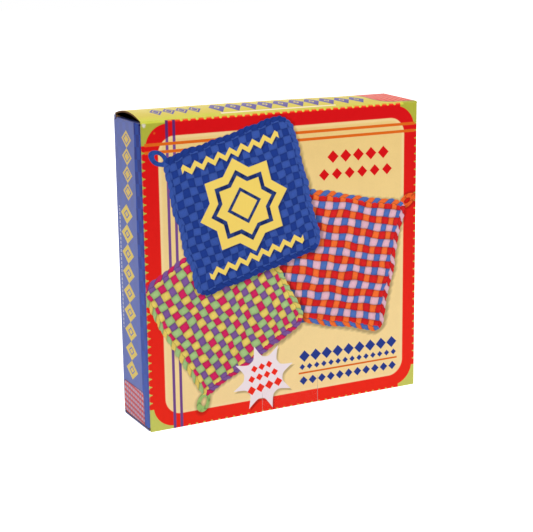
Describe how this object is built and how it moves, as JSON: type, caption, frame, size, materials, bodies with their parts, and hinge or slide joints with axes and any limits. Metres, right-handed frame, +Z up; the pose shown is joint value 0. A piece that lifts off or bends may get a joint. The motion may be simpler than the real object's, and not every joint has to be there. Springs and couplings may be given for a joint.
{
  "type": "potholder loom kit",
  "caption": "Tuck-top carton of printed fluted board that holds a square steel potholder loom, cotton loops, a wire hook and a folded leaflet; the lid opens with its flaps.",
  "frame": {"origin": "middle of the carton's base, on the surface it stands on", "axes": "+X to the right of the carton's front, +Y from front to back, +Z up"},
  "size_m": [0.216, 0.0482, 0.2186],
  "materials": {
    "printed_board": "printed fluted board, red, cream and lime print",
    "side_board": "printed fluted board, blue print",
    "lid_board": "printed fluted board, yellow to lime print",
    "kraft_board": "unprinted brown fluted board",
    "tape": "clear adhesive tape",
    "loom_steel": "smooth coated sheet steel",
    "rivet_steel": "plain steel",
    "hook_steel": "bright steel wire",
    "cotton_blue": "knitted cotton",
    "cotton_purple": "knitted cotton",
    "cotton_magenta": "knitted cotton",
    "cotton_lime": "knitted cotton",
    "cotton_yellow": "knitted cotton",
    "cotton_red": "knitted cotton",
    "cotton_orange": "knitted cotton",
    "cotton_pink": "knitted cotton",
    "paper": "uncoated paper"
  },
  "bodies": {
    "carton": {"front_panel": "printed_board", "back_panel": "printed_board", "left_side_panel": "side_board", "right_side_panel": "side_board", "glue_flap": "kraft_board", "base_panel": "printed_board", "base_tuck_tab": "kraft_board", "base_left_dust_flap": "kraft_board", "base_right_dust_flap": "kraft_board", "tape_seal": "tape", "loom_rail_top": "loom_steel", "loom_rail_bottom": "loom_steel", "loom_rail_left": "loom_steel", "loom_rail_right": "loom_steel", "loom_rivets": "rivet_steel", "hook": "hook_steel", "loops_blue": "cotton_blue", "loops_purple": "cotton_purple", "loops_magenta": "cotton_magenta", "loops_lime": "cotton_lime", "loops_yellow": "cotton_yellow", "loops_red": "cotton_red", "loops_orange": "cotton_orange", "loops_pink": "cotton_pink", "leaflet": "paper"},
    "lid": {"lid_panel": "lid_board"},
    "tab": {"tuck_tab": "lid_board"},
    "left_flap": {"left_dust_flap": "side_board"},
    "right_flap": {"right_dust_flap": "side_board"}
  },
  "joints": [
    {"name": "lid_hinge", "type": "hinge", "parent": "carton", "child": "lid", "pos_m": [0, -0.02362, 0.21383], "axis": [1, 0, 0], "range_deg": [0, 180]},
    {"name": "tuck_crease", "type": "hinge", "parent": "lid", "child": "tab", "pos_m": [0, 0.02117, 0.21438], "axis": [1, 0, 0], "range_deg": [-45, 0]},
    {"name": "left_flap_crease", "type": "hinge", "parent": "carton", "child": "left_flap", "pos_m": [-0.10753, 0, 0.21243], "axis": [0, -1, 0], "range_deg": [0, 72]},
    {"name": "right_flap_crease", "type": "hinge", "parent": "carton", "child": "right_flap", "pos_m": [0.10753, 0, 0.21243], "axis": [0, 1, 0], "range_deg": [0, 72]}
  ],
  "couplings": [
    {"joint": "tuck_crease", "follows": "lid_hinge", "ratio": -0.25},
    {"joint": "left_flap_crease", "follows": "lid_hinge", "ratio": 0.4},
    {"joint": "right_flap_crease", "follows": "lid_hinge", "ratio": 0.4}
  ]
}
